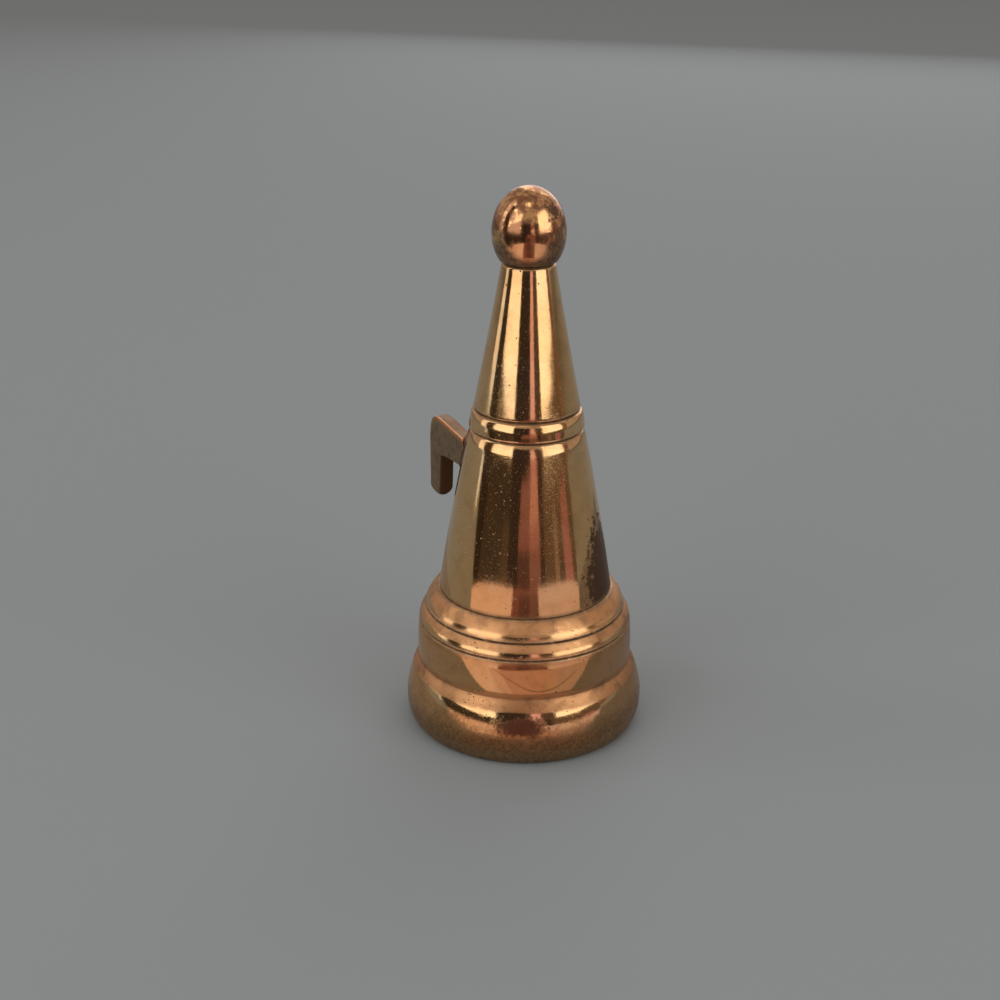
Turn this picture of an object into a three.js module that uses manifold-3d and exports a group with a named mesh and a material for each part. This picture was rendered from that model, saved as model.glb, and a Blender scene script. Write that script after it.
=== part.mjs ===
// Brass candle snuffer: a hollow cone with a ball finial, a flared foot and a small hanging hook.
// Millimetres, +Z up. The origin is the centre of the foot's underside, on the snuffer's axis.
// The hook's root faces -X, and its arm leans from there towards +Y.
import * as THREE from "three";
import * as BufferGeometryUtils from "three/addons/utils/BufferGeometryUtils.js";
import Module from "manifold-3d";

// Heights of the turned forms, from the table up
const rimHeight = 8.75;
const rimCrestHeight = 3.2;
const coveHeight = 1.45;
const cylinderHeight = 3.8;
const beadHeight = 2.0;
const shoulderHeight = 2.5;
const lowerConeHeight = 21.5;
const bandHeight = 2.55;
const upperConeHeight = 18.35;
const ballCrestHeight = 3.6;
const ballCapHeight = 5.5;

// The cone's outside, and how far the foot spreads from its bottom, step by step
const coneBottomRadius = 11.05;
const lowerConeTopRadius = 7.25;
const coneSwell = 0.3;
const bandInset = 0.08;
const bandTaper = 0.31;
const bandSwell = 0.16;
const upperConeInset = 0.2;
const neckRadius = 3.3;
const footLedge = 0.2;
const shoulderSpread = 1.6;
const shoulderSwell = 0.42;
const beadSpread = 0.83;
const beadSwell = 0.32;
const cylinderSpread = 0.14;
const cylinderSwell = 0.12;
const coveSpread = 0.33;
const coveHollow = 0.1;
const rimSpread = 1.22;
const rimUndercut = 1.37;
const rimFullness = 0.45;
const rimShoulder = 0.9;
const underFullness = 0.65;

// The ball is a little taller than it is wide
const ballRadius = 4.52;
const ballLowerHalfHeight = 5.45;

// Turned grooves and broken edges
const grooveDepth = 0.24;
const grooveWidth = 0.5;
const footGrooveDepth = 0.18;
const footGrooveWidth = 0.26;
const neckBreak = 0.3;
const ballBreak = 0.2;

// Walls, and the hollow between them
const coneWall = 1.8;
const tipWeb = 3.1;
const hollowDomeHeight = 2.0;
const footWall = 1.62;
const mouthChamfer = 0.5;
const crownThickness = 2.9;
const crownChamfer = 0.9;

// The cone's spigot in the foot's collar, and the solder round its end
const spigotInset = 0.95;
const spigotClearance = 0.05;
const spigotPastCrown = 0.6;
const solderWidth = 0.7;
const solderHollow = 0.12;

// The ball's stud in the cone's top
const studRadius = 1.5;
const studLength = 5.4;
const studClearance = 0.05;
const studRelief = 0.4;
const studChamfer = 0.3;

// The hanging hook: a flat plate whose reach is measured along its arm from the brazed end
const hookSkewDegrees = 50;
const hookThickness = 2.0;
const hookReach = 7.65;
const hookBelowBand = 1.95;
const armRootHeight = 3.75;
const armTipRise = 0.75;
const armTipDrop = 0.4;
const armCornerRound = 1.7;
const armCornerHeight = 3.4;
const hookHeight = 10.6;
const legTopWidth = 3.0;
const legTipWidth = 2.7;
const legTipRound = 1.2;
const legTipFlank = 0.8;
const hookEdge = 0.16;

// The hook's seat in the cone's flank
const seatDepth = 0.8;
const brazeThickness = 0.7;
const mortiseClearance = 0.1;

// Steps of the round shapes
const turnSteps = 64;
const curveSteps = 4;
const ballSteps = 9;

// Levels and radii that follow from the sizes above
const coveTopZ = rimHeight + coveHeight;
const beadBottomZ = coveTopZ + cylinderHeight;
const beadTopZ = beadBottomZ + beadHeight;
const footTopZ = beadTopZ + shoulderHeight;
const lowerGrooveZ = footTopZ + lowerConeHeight;
const upperGrooveZ = lowerGrooveZ + bandHeight;
const neckZ = upperGrooveZ + upperConeHeight;
const ballCentreZ = neckZ + ballCrestHeight;
const ballTopZ = ballCentreZ + ballCapHeight;
const ledgeRadius = coneBottomRadius + footLedge;
const beadTopRadius = ledgeRadius + shoulderSpread;
const beadBottomRadius = beadTopRadius + beadSpread;
const coveTopRadius = beadBottomRadius + cylinderSpread;
const rimTopRadius = coveTopRadius + coveSpread;
const rimRadius = rimTopRadius + rimSpread;
const restRadius = rimRadius - rimUndercut;
const footBoreRadius = coveTopRadius - footWall;
const crownZ = footTopZ - crownThickness;
const spigotRadius = coneBottomRadius - spigotInset;
const spigotBottomZ = crownZ - spigotPastCrown;
const collarRadius = spigotRadius + spigotClearance;
const armTopZ = lowerGrooveZ - hookBelowBand;
const armBottomZ = armTopZ - armRootHeight;
const legBottomZ = armTopZ + armTipRise - hookHeight;
const coneSeatX = coneRadiusAt(armTopZ - armRootHeight / 2) - seatDepth;
const hookRootX = coneSeatX + brazeThickness;
const rootStock = 2 * (hookThickness + brazeThickness);

const brass = { color: 0xc0904a, roughness: 0.22, metalness: 1.0 };
const dullBrass = { color: 0x94764c, roughness: 0.42, metalness: 1.0 };
const brazeMetal = { color: 0x8c5238, roughness: 0.5, metalness: 1.0 };
const solderMetal = { color: 0x7d7d78, roughness: 0.6, metalness: 1.0 };

const wasm = await Module();
wasm.setup();

// A point of a turned profile: distance from the axis, height
function at(radius, z) {
  return new THREE.Vector2(radius, z);
}

// A bowed line between two profile points, swelled outwards in its middle
function swelled(from, to, swell, steps = curveSteps) {
  const middle = at((from.x + to.x) / 2 + 2 * swell, (from.y + to.y) / 2);
  return new THREE.QuadraticBezierCurve(from, middle, to).getPoints(steps);
}

// The lower cone's outside radius at a height
function coneRadiusAt(z) {
  const share = (z - footTopZ) / lowerConeHeight;
  const straight = THREE.MathUtils.lerp(coneBottomRadius, lowerConeTopRadius, share);
  return straight + 4 * coneSwell * share * (1 - share);
}

// A quarter of an ellipse, from its widest point to its top, without the top itself
function quarterRound(radius, baseZ, height, steps) {
  const points = [];
  for (let i = 0; i < steps; i++) {
    const angle = ((i / steps) * Math.PI) / 2;
    points.push(at(radius * Math.cos(angle), baseZ + height * Math.sin(angle)));
  }
  return points;
}

// One position for each corner, and no triangle that has shrunk to a line
function welded(geometry) {
  geometry.deleteAttribute("normal");
  geometry.deleteAttribute("uv");
  const merged = BufferGeometryUtils.mergeVertices(geometry);
  const corners = merged.index.array;
  const kept = [];
  for (let i = 0; i < corners.length; i += 3) {
    const [a, b, c] = corners.subarray(i, i + 3);
    if (a !== b && b !== c && c !== a) kept.push(a, b, c);
  }
  merged.setIndex(kept);
  return merged;
}

// A solid turned about Z from a profile that closes, or that starts and ends on the axis
function turned(profile) {
  const geometry = new THREE.LatheGeometry(profile, turnSteps);
  geometry.rotateX(Math.PI / 2);
  return welded(geometry);
}

function solidOf(geometry) {
  const vertProperties = geometry.attributes.position.array;
  const triVerts = new Uint32Array(geometry.index.array);
  return new wasm.Manifold(new wasm.Mesh({ numProp: 3, vertProperties, triVerts }));
}

function geometryOf(solid) {
  const mesh = solid.getMesh();
  const geometry = new THREE.BufferGeometry();
  geometry.setAttribute("position", new THREE.BufferAttribute(new Float32Array(mesh.vertProperties), 3));
  geometry.setIndex(new THREE.BufferAttribute(new Uint32Array(mesh.triVerts), 1));
  return geometry;
}

// The ball: two half ellipses of one width, cut flat at the neck, on a plain stud
function ballFinial() {
  const lowAngle = Math.asin((ballBreak - ballCrestHeight) / ballLowerHalfHeight);
  const studBottomZ = neckZ - studLength;
  const profile = [
    at(0, studBottomZ),
    at(studRadius - studChamfer, studBottomZ),
    at(studRadius, studBottomZ + studChamfer),
    at(studRadius, neckZ),
    at(neckRadius - neckBreak, neckZ),
  ];
  for (let i = 0; i < ballSteps; i++) {
    const angle = lowAngle * (1 - i / ballSteps);
    const z = ballCentreZ + ballLowerHalfHeight * Math.sin(angle);
    profile.push(at(ballRadius * Math.cos(angle), z));
  }
  profile.push(...quarterRound(ballRadius, ballCentreZ, ballCapHeight, ballSteps));
  profile.push(at(0, ballTopZ));
  return turned(profile);
}

// A turned groove: three points that dip into the surface between the radii below and above it
function groove(z, radiusBelow, radiusAbove) {
  const floor = Math.min(radiusBelow, radiusAbove) - grooveDepth;
  return [at(radiusBelow, z - grooveWidth / 2), at(floor, z), at(radiusAbove, z + grooveWidth / 2)];
}

// The cone's outside from its seat on the foot up to its neck
function coneOutside() {
  const bandBottomRadius = lowerConeTopRadius - bandInset;
  const bandTopRadius = bandBottomRadius - bandTaper;
  const lowerGroove = groove(lowerGrooveZ, lowerConeTopRadius, bandBottomRadius);
  const upperGroove = groove(upperGrooveZ, bandTopRadius, bandTopRadius - upperConeInset);
  return [
    ...swelled(at(coneBottomRadius, footTopZ), lowerGroove[0], coneSwell, 2 * curveSteps),
    lowerGroove[1],
    ...swelled(lowerGroove[2], upperGroove[0], bandSwell),
    upperGroove[1],
    upperGroove[2],
    at(neckRadius, neckZ - neckBreak),
    at(neckRadius - neckBreak, neckZ),
  ];
}

// The hollow, from the spigot's mouth up: the outside without its grooves, a wall further in
function coneHollow() {
  const seat = at(coneBottomRadius - coneWall, footTopZ);
  const bend = at(lowerConeTopRadius - coneWall, lowerGrooveZ);
  const taper = (lowerConeTopRadius - neckRadius) / (neckZ - lowerGrooveZ);
  const domeZ = neckZ - studLength - studRelief - tipWeb - hollowDomeHeight;
  const domeRadius = bend.x - taper * (domeZ - lowerGrooveZ);
  return [
    at(seat.x, spigotBottomZ),
    ...swelled(seat, bend, coneSwell),
    ...quarterRound(domeRadius, domeZ, hollowDomeHeight, curveSteps),
    at(0, domeZ + hollowDomeHeight),
  ];
}

// The cone with its hollow, its spigot, the socket for the stud and the mortise for the hook
function coneBody() {
  const socketRadius = studRadius + studClearance;
  const socketBottomZ = neckZ - studLength - studRelief;
  const profile = [
    ...coneHollow().reverse(),
    at(spigotRadius, spigotBottomZ),
    at(spigotRadius, footTopZ),
    ...coneOutside(),
    at(socketRadius, neckZ),
    at(socketRadius, socketBottomZ),
    at(0, socketBottomZ),
  ];
  const mortise = armStub(mortiseClearance).intersect(beyond(coneSeatX));
  return geometryOf(solidOf(turned(profile)).subtract(mortise));
}

// The rounded rim, from the table over its crest to the cove
function rimOutside() {
  const crest = at(rimRadius, rimCrestHeight);
  const upperHeight = rimHeight - rimCrestHeight;
  const under = new THREE.CubicBezierCurve(
    at(restRadius, 0),
    at(restRadius + underFullness * rimUndercut, 0),
    at(rimRadius, rimFullness * rimCrestHeight),
    crest,
  );
  const over = new THREE.CubicBezierCurve(
    crest,
    at(rimRadius, rimCrestHeight + rimFullness * upperHeight),
    at(rimTopRadius + rimFullness * rimSpread, rimCrestHeight + rimShoulder * upperHeight),
    at(rimTopRadius, rimHeight),
  );
  return [...under.getPoints(curveSteps), ...over.getPoints(curveSteps + 1).slice(1)];
}

// The foot's outside from the table up to the ledge that carries the cone
function footOutside() {
  const halfGroove = footGrooveWidth / 2;
  const rimTop = at(rimTopRadius, rimHeight);
  const coveTop = at(coveTopRadius, coveTopZ);
  const cylinderTop = at(beadBottomRadius, beadBottomZ - halfGroove);
  const beadStart = at(beadBottomRadius, beadBottomZ + halfGroove);
  const beadEnd = at(beadTopRadius, beadTopZ - halfGroove);
  const shoulderStart = at(beadTopRadius, beadTopZ + halfGroove);
  return [
    ...rimOutside(),
    ...swelled(rimTop, coveTop, -coveHollow, 2).slice(1),
    ...swelled(coveTop, cylinderTop, cylinderSwell).slice(1),
    at(beadBottomRadius - footGrooveDepth, beadBottomZ),
    ...swelled(beadStart, beadEnd, beadSwell),
    at(beadTopRadius - footGrooveDepth, beadTopZ),
    ...swelled(shoulderStart, at(ledgeRadius, footTopZ), shoulderSwell, curveSteps + 1),
  ];
}

// The foot: a thick collar round the spigot, a wide bore and an open mouth
function bellFoot() {
  const collarTop = at(collarRadius, footTopZ);
  return turned([
    collarTop,
    at(collarRadius, crownZ),
    at(footBoreRadius - crownChamfer, crownZ),
    at(footBoreRadius, crownZ - crownChamfer),
    at(footBoreRadius, mouthChamfer),
    at(footBoreRadius + mouthChamfer, 0),
    ...footOutside(),
    collarTop.clone(),
  ]);
}

// A hollow-faced ring in the corner between the crown's underside and the end of the spigot
function footSolder() {
  const corner = at(collarRadius, crownZ);
  const wide = at(collarRadius + solderWidth, crownZ);
  const low = at(collarRadius, spigotBottomZ);
  const face = at((wide.x + low.x) / 2 - solderHollow, (wide.y + low.y) / 2 + solderHollow);
  return turned([corner, low, face, wide, corner.clone()]);
}

// From the hook's own axes, which are along the arm, up and through the plate, to the snuffer's
function hookFrame() {
  const skew = THREE.MathUtils.degToRad(hookSkewDegrees);
  const along = new THREE.Vector3(-Math.cos(skew), Math.sin(skew), 0);
  const up = new THREE.Vector3(0, 0, 1);
  const through = new THREE.Vector3().crossVectors(along, up);
  return new THREE.Matrix4().makeBasis(along, up, through).setPosition(-hookRootX, 0, 0);
}

// A plate with the given outline, in the hook's middle plane, with its edges broken
function hookPlate(outline, thickness, edge) {
  const geometry = new THREE.ExtrudeGeometry(outline, {
    depth: thickness - 2 * edge,
    bevelEnabled: edge > 0,
    bevelSize: edge,
    bevelOffset: -edge,
    bevelThickness: edge,
    bevelSegments: 1,
    curveSegments: curveSteps,
  });
  geometry.translate(0, 0, edge - thickness / 2);
  geometry.applyMatrix4(hookFrame());
  return solidOf(welded(geometry));
}

// All the room on the hook's side of an upright plane
function beyond(x) {
  const far = coneBottomRadius + 2 * hookReach;
  const geometry = new THREE.BoxGeometry(far, 2 * far, 2 * ballTopZ);
  geometry.translate(-x - far / 2, 0, ballTopZ / 2);
  return solidOf(welded(geometry));
}

// The arm's straight root, carried on into the flank and made larger all round by a clearance
function armStub(clearance) {
  const low = armBottomZ - clearance;
  const high = armTopZ + clearance;
  const root = new THREE.Shape();
  root.moveTo(-rootStock, low);
  root.lineTo(rootStock, low);
  root.lineTo(rootStock, high);
  root.lineTo(-rootStock, high);
  root.closePath();
  return hookPlate(root, hookThickness + 2 * clearance, 0);
}

// The outline of the inverted L, from the arm's root underneath to the leg's tip and back over
function hookOutline() {
  const crestZ = armTopZ + armTipRise;
  const legInside = hookReach - legTipWidth;
  const outline = new THREE.Shape();
  outline.moveTo(-rootStock, armBottomZ);
  outline.lineTo(0, armBottomZ);
  outline.lineTo(hookReach - legTopWidth, armBottomZ - armTipDrop);
  outline.lineTo(legInside, legBottomZ + legTipFlank);
  outline.quadraticCurveTo(legInside, legBottomZ, legInside + legTipFlank, legBottomZ);
  outline.lineTo(hookReach - legTipRound, legBottomZ);
  outline.quadraticCurveTo(hookReach, legBottomZ, hookReach, legBottomZ + legTipRound);
  outline.lineTo(hookReach, crestZ - armCornerHeight);
  outline.quadraticCurveTo(hookReach, crestZ, hookReach - armCornerRound, crestZ);
  outline.quadraticCurveTo(hookReach / 2, crestZ, 0, armTopZ);
  outline.lineTo(-rootStock, armTopZ);
  outline.closePath();
  return outline;
}

// The hook seen along its arm: as wide as the plate is thick, with a rounded lower end
function hookFront() {
  const half = hookThickness / 2;
  const front = new THREE.Shape();
  front.moveTo(-half, ballTopZ);
  front.lineTo(-half, legBottomZ + legTipFlank);
  front.quadraticCurveTo(-half, legBottomZ, 0, legBottomZ);
  front.quadraticCurveTo(half, legBottomZ, half, legBottomZ + legTipFlank);
  front.lineTo(half, ballTopZ);
  front.closePath();
  const depth = 4 * hookReach;
  const geometry = new THREE.ExtrudeGeometry(front, {
    depth,
    bevelEnabled: false,
    curveSegments: curveSteps,
  });
  geometry.translate(0, 0, -depth / 2);
  geometry.rotateY(Math.PI / 2);
  geometry.applyMatrix4(hookFrame());
  return solidOf(welded(geometry));
}

function hangingHook() {
  const plate = hookPlate(hookOutline(), hookThickness, hookEdge);
  return geometryOf(plate.intersect(hookFront()).intersect(beyond(hookRootX)));
}

// The braze fills the joint between the seat in the cone's flank and the end of the hook
function hookBraze() {
  return geometryOf(armStub(0).intersect(beyond(coneSeatX)).subtract(beyond(hookRootX)));
}

function addPart(group, name, geometry, finish) {
  const mesh = new THREE.Mesh(geometry, new THREE.MeshStandardMaterial(finish));
  mesh.name = name;
  group.add(mesh);
}

const snuffer = new THREE.Group();
addPart(snuffer, "ball_finial", ballFinial(), brass);
addPart(snuffer, "cone_body", coneBody(), brass);
addPart(snuffer, "bell_foot", bellFoot(), brass);
addPart(snuffer, "hanging_hook", hangingHook(), dullBrass);
addPart(snuffer, "hook_braze", hookBraze(), brazeMetal);
addPart(snuffer, "foot_solder", footSolder(), solderMetal);

export default snuffer;
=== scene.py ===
import math

import bmesh
import bpy
from mathutils import Matrix, Vector, noise


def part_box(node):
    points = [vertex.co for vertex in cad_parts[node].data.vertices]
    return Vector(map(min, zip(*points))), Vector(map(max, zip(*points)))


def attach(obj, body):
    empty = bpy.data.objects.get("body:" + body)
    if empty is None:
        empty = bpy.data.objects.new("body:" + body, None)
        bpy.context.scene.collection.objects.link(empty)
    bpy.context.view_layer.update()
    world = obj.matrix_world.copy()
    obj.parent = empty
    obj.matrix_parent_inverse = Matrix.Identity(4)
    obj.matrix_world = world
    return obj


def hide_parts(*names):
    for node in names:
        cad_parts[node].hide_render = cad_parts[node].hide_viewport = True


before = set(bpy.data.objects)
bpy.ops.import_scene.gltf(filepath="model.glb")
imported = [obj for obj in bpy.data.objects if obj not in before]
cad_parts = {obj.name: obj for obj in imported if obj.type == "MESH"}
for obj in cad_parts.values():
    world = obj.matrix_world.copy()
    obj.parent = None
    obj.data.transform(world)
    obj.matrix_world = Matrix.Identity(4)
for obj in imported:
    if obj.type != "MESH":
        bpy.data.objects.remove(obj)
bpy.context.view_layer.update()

mm = 0.001
hair = 1e-6        # what is closer than this is the same place
shiftWay = (1.0, 0.7, -0.4)        # the direction in which a noise is shifted
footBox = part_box("bell_foot")
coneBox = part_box("cone_body")
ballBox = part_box("ball_finial")
print("frame loaded,", len(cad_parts), "solids")

scene = bpy.context.scene
scene.view_settings.view_transform = "Standard"

# Ends of the turned pieces, read from the solids, in mm
rimRadius = footBox[1].x / mm
footTop = footBox[1].z / mm
neckTop = coneBox[1].z / mm
ballTop = ballBox[1].z / mm
ballRadius = ballBox[1].y / mm
print("overall height", round(ballTop, 2), "mm, foot radius", round(rimRadius, 2), "mm")


# Camera, where the photograph was taken from
camera = {
    "place": (34.9, -195.9, 112.63),        # mm from the middle of the foot
    "turn": 11.045,        # degrees round the upright axis
    "tilt": 22.58,        # degrees down
    "roll": 0.327,
    "lens": 61.2,
    "sensor": 36,
    "clip": (0.005, 20),        # m
}


def addCamera():
    data = bpy.data.cameras.new("photoCamera")
    data.lens = camera["lens"]
    data.sensor_width = camera["sensor"]
    data.clip_start, data.clip_end = camera["clip"]
    seen = bpy.data.objects.new("photoCamera", data)
    turn = Matrix.Rotation(math.radians(camera["turn"]), 4, "Z")
    tilt = Matrix.Rotation(math.radians(90 - camera["tilt"]), 4, "X")
    roll = Matrix.Rotation(math.radians(camera["roll"]), 4, "Z")
    place = Matrix.Translation(Vector(camera["place"]) * mm)
    seen.matrix_world = place @ turn @ tilt @ roll
    scene.collection.objects.link(seen)
    scene.camera = seen


addCamera()
print("camera set")


# Lines of a turned profile, as (radius, height) in mm, run upwards on the outside
def bowed(start, end, swell=0.0, spacing=0.3):
    count = max(2, round(math.dist(start, end) / spacing))
    points = []
    for i in range(count + 1):
        t = i / count
        out = 4 * swell * t * (1 - t)        # swells outwards in the middle
        points.append((start[0] + (end[0] - start[0]) * t + out, start[1] + (end[1] - start[1]) * t))
    return points


def quadratic(a, b, c, count):
    points = []
    for i in range(count + 1):
        t = i / count
        s = 1 - t
        points.append(tuple(s * s * a[k] + 2 * s * t * b[k] + t * t * c[k] for k in (0, 1)))
    return points


def cubic(a, b, c, d, count):
    points = []
    for i in range(count + 1):
        t = i / count
        s = 1 - t
        weights = (s * s * s, 3 * s * s * t, 3 * s * t * t, t * t * t)
        points.append(tuple(sum(w * p[k] for w, p in zip(weights, (a, b, c, d))) for k in (0, 1)))
    return points


def towards(corner, other, reach):
    length = math.dist(corner, other)
    share = min(reach, 0.45 * length) / length        # never as far as the line's middle
    return (corner[0] + (other[0] - corner[0]) * share, corner[1] + (other[1] - corner[1]) * share)


def joined(lines, soft=0.09, count=4):        # one profile, its corners softened
    whole = list(lines[0])
    for line in lines[1:]:
        corner = whole[-1]
        before = towards(corner, whole[-2], soft)
        after = towards(corner, line[1], soft)
        whole[-1:] = quadratic(before, corner, after, count) + line[1:]
    return whole


def grooveLines(low, high, depth):        # down one flank of a turned groove and up the other
    floor = min(low[0], high[0]) - depth
    middle = (low[1] + high[1]) / 2
    return [[low, (floor, middle)], [(floor, middle), high]]


# How sharply the profile turns near each point: inwards is a crevice, outwards an edge
def bends(profile, reach):
    steps = [0.0]
    for a, b in zip(profile, profile[1:]):
        steps.append(steps[-1] + math.dist(a, b))
    turns = [0.0] * len(profile)
    for i in range(1, len(profile) - 1):
        (ar, az), (br, bz), (cr, cz) = profile[i - 1:i + 2]
        turn = math.atan2(cz - bz, cr - br) - math.atan2(bz - az, br - ar)
        turns[i] = (turn + math.pi) % (2 * math.pi) - math.pi
    crevice, edge = [], []
    for here in steps:
        inward = outward = 0.0
        for there, turn in zip(steps, turns):
            gap = (there - here) / reach
            if abs(gap) < 3:        # a bend further away hardly counts
                weight = math.exp(-gap * gap)
                inward += max(0.0, -turn) * weight
                outward += max(0.0, turn) * weight
        crevice.append(inward)
        edge.append(outward)
    return crevice, edge


def meshFrom(bm, name):
    mesh = bpy.data.meshes.new(name)
    bm.to_mesh(mesh)
    bm.free()
    return mesh


def storeFloats(mesh, name, values):
    layer = mesh.attributes.new(name, "FLOAT", "POINT")
    layer.data.foreach_set("value", values)


def finish(mesh, node, material):        # puts a made mesh in the place of its solid
    piece = bpy.data.objects.new(mesh.name, mesh)
    scene.collection.objects.link(piece)
    mesh.shade_smooth()
    mesh.materials.append(material)
    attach(piece, "root")
    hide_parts(node)


def bridge(bm, rings, ends):        # faces between rings of equal length, and over both ends
    for low, high in zip(rings, rings[1:]):
        for i in range(len(low)):
            j = (i + 1) % len(low)
            bm.faces.new((low[i], low[j], high[j], high[i]))
    for end in ends:
        bm.faces.new(end)
    bmesh.ops.recalc_face_normals(bm, faces=bm.faces)


# Where dirt, tarnish and wear gather on a turned piece
wear = {
    "lumps": 0.32,        # of the metal's unevenness, per mm
    "dirtReach": 0.16,        # mm from a crease
    "stainReach": 0.7,
    "dirtyBend": 1.3,        # the bends that are fully dirty, stained or worn, in radians
    "stainedBend": 1.6,
    "wornBend": 0.9,
    "seamStain": 0.6,        # the share of a seam's dirt that stains the metal beside it
}


def storeWear(mesh, rings, profile, made, innerPoints):
    narrow, edge = bends(profile, made.get("dirtReach", wear["dirtReach"]))
    wide = bends(profile, wear["stainReach"])[0]
    layers = {"crevice": [], "edgeWearAndHighlight": [], "stain": [], "inside": []}
    for i, (ring, (_, height)) in enumerate(zip(rings, profile)):
        seam = satin = 0.0
        for middle, width, strength in made["seams"]:
            seam = max(seam, math.exp(-((height - middle) / width) ** 2) * strength)
        for low, high, soft in made.get("satin", ()):
            satin = max(satin, min(1.0, (height - low) / soft, (high - height) / soft))
        stain = wide[i] / wear["stainedBend"] + wear["seamStain"] * seam + satin
        layers["crevice"] += [min(1.0, narrow[i] / wear["dirtyBend"] + seam)] * len(ring)
        layers["edgeWearAndHighlight"] += [min(1.0, edge[i] / wear["wornBend"])] * len(ring)
        layers["stain"] += [min(1.0, stain)] * len(ring)
        layers["inside"] += [float(i < innerPoints)] * len(ring)
    for name, values in layers.items():
        storeFloats(mesh, name, values)


# Spins a profile round the upright axis. It starts and ends on the axis, or closes on itself.
def spun(name, profile, made, innerPoints=0):
    turns = made["turns"]
    closed = math.dist(profile[0], profile[-1]) < hair        # a ring, such as the foot
    if closed:
        profile = profile[:-1]
    bm = bmesh.new()
    rings = []
    for radius, height in profile:
        if radius < hair:        # on the axis
            rings.append([bm.verts.new((0, 0, height * mm))])
            continue
        ring = []
        for i in range(turns):
            angle = 2 * math.pi * i / turns
            way = Vector((math.cos(angle), math.sin(angle), 0))
            place = way * radius + Vector((0, 0, height))
            swell = made["unevenness"] * noise.noise(place * wear["lumps"])
            ring.append(bm.verts.new((place + way * swell) * mm))
        rings.append(ring)
    for low, high in zip(rings, rings[1:] + rings[:1] if closed else rings[1:]):
        for i in range(turns):
            j = (i + 1) % turns
            if len(low) == 1:
                bm.faces.new((low[0], high[j], high[i]))
            elif len(high) == 1:
                bm.faces.new((low[i], low[j], high[0]))
            else:
                bm.faces.new((low[i], low[j], high[j], high[i]))
    mesh = meshFrom(bm, name)
    storeWear(mesh, rings, profile, made, innerPoints)
    return mesh


# Node helpers. A value is a number, a colour or another node's output.
def feed(tree, socket, value):
    if isinstance(value, bpy.types.NodeSocket):
        tree.links.new(value, socket)
    elif isinstance(value, tuple):
        socket.default_value = (*value, 1)
    else:
        socket.default_value = value


def calc(tree, operation, a, b=0.0, limit=False):
    node = tree.nodes.new("ShaderNodeMath")
    node.operation = operation
    node.use_clamp = limit
    feed(tree, node.inputs[0], a)
    feed(tree, node.inputs[1], b)
    return node.outputs[0]


def plus(tree, *values):        # a sum, kept between 0 and 1
    total = values[0]
    for value in values[1:]:
        total = calc(tree, "ADD", total, value)
    return calc(tree, "ADD", total, 0.0, True)


def times(tree, *values):
    total = values[0]
    for value in values[1:]:
        total = calc(tree, "MULTIPLY", total, value)
    return total


def most(tree, *values):
    total = values[0]
    for value in values[1:]:
        total = calc(tree, "MAXIMUM", total, value)
    return total


def without(tree, value, limit=False):        # 1 less the value
    return calc(tree, "SUBTRACT", 1.0, value, limit)


def fade(tree, value, low, high, bottom=0.0, top=1.0):        # a soft step from low to high
    node = tree.nodes.new("ShaderNodeMapRange")
    node.interpolation_type = "SMOOTHSTEP"
    feed(tree, node.inputs["Value"], value)
    for key, number in (("From Min", low), ("From Max", high), ("To Min", bottom), ("To Max", top)):
        feed(tree, node.inputs[key], number)
    return node.outputs["Result"]


def blend(tree, share, a, b):        # mixes two colours
    node = tree.nodes.new("ShaderNodeMix")
    node.data_type = "RGBA"
    feed(tree, node.inputs["Factor"], share)
    feed(tree, node.inputs["A"], a)
    feed(tree, node.inputs["B"], b)
    return node.outputs["Result"]


def stored(tree, name):        # one of the mesh's own float attributes
    node = tree.nodes.new("ShaderNodeAttribute")
    node.attribute_name = name
    return node.outputs["Fac"]


def onSurface(tree, shift=0.0, stretch=(1, 1, 1), turn=(0, 0, 0)):        # a place on the object, in mm
    spot = tree.nodes.new("ShaderNodeTexCoord")
    node = tree.nodes.new("ShaderNodeMapping")
    node.inputs["Location"].default_value = [shift * part for part in shiftWay]
    node.inputs["Rotation"].default_value = [math.radians(angle) for angle in turn]
    node.inputs["Scale"].default_value = [1 / (mm * share) for share in stretch]
    tree.links.new(spot.outputs["Object"], node.inputs["Vector"])
    return node.outputs["Vector"]


def heightOf(tree):
    node = tree.nodes.new("ShaderNodeSeparateXYZ")
    tree.links.new(onSurface(tree), node.inputs[0])
    return node.outputs["Z"]


def nearPlace(tree, place, reach):        # 1 in the middle of an oval place, 0 at its edge
    vector = onSurface(tree)
    for operation, value in (("SUBTRACT", place), ("DIVIDE", reach)):
        node = tree.nodes.new("ShaderNodeVectorMath")
        node.operation = operation
        tree.links.new(vector, node.inputs[0])
        node.inputs[1].default_value = value
        vector = node.outputs[0]
    length = tree.nodes.new("ShaderNodeVectorMath")
    length.operation = "LENGTH"
    tree.links.new(vector, length.inputs[0])
    return without(tree, length.outputs["Value"], True)


# Noise about 0.5, with lumps of a size in mm. The shift sets where in the noise it starts.
def cloud(tree, size, detail, rough, twist, shift, **place):
    node = tree.nodes.new("ShaderNodeTexNoise")
    for key, value in (("Scale", 1 / size), ("Detail", detail), ("Roughness", rough), ("Distortion", twist)):
        node.inputs[key].default_value = value
    tree.links.new(onSurface(tree, shift, **place), node.inputs["Vector"])
    return node.outputs["Fac"]


def patches(tree, look, name, *ends, **place):        # where one noise of a finish is high, from 0 to 1
    return fade(tree, cloud(tree, *look[name + "Noise"], **place), *look[name + "Range"], *ends)


speck = {        # in shares of a speck's radius
    "bendRate": 0.9,
    "bendReach": 1.3,
    "smallest": 0.6,
    "spread": 0.8,
    "core": 0.45,
}


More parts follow.
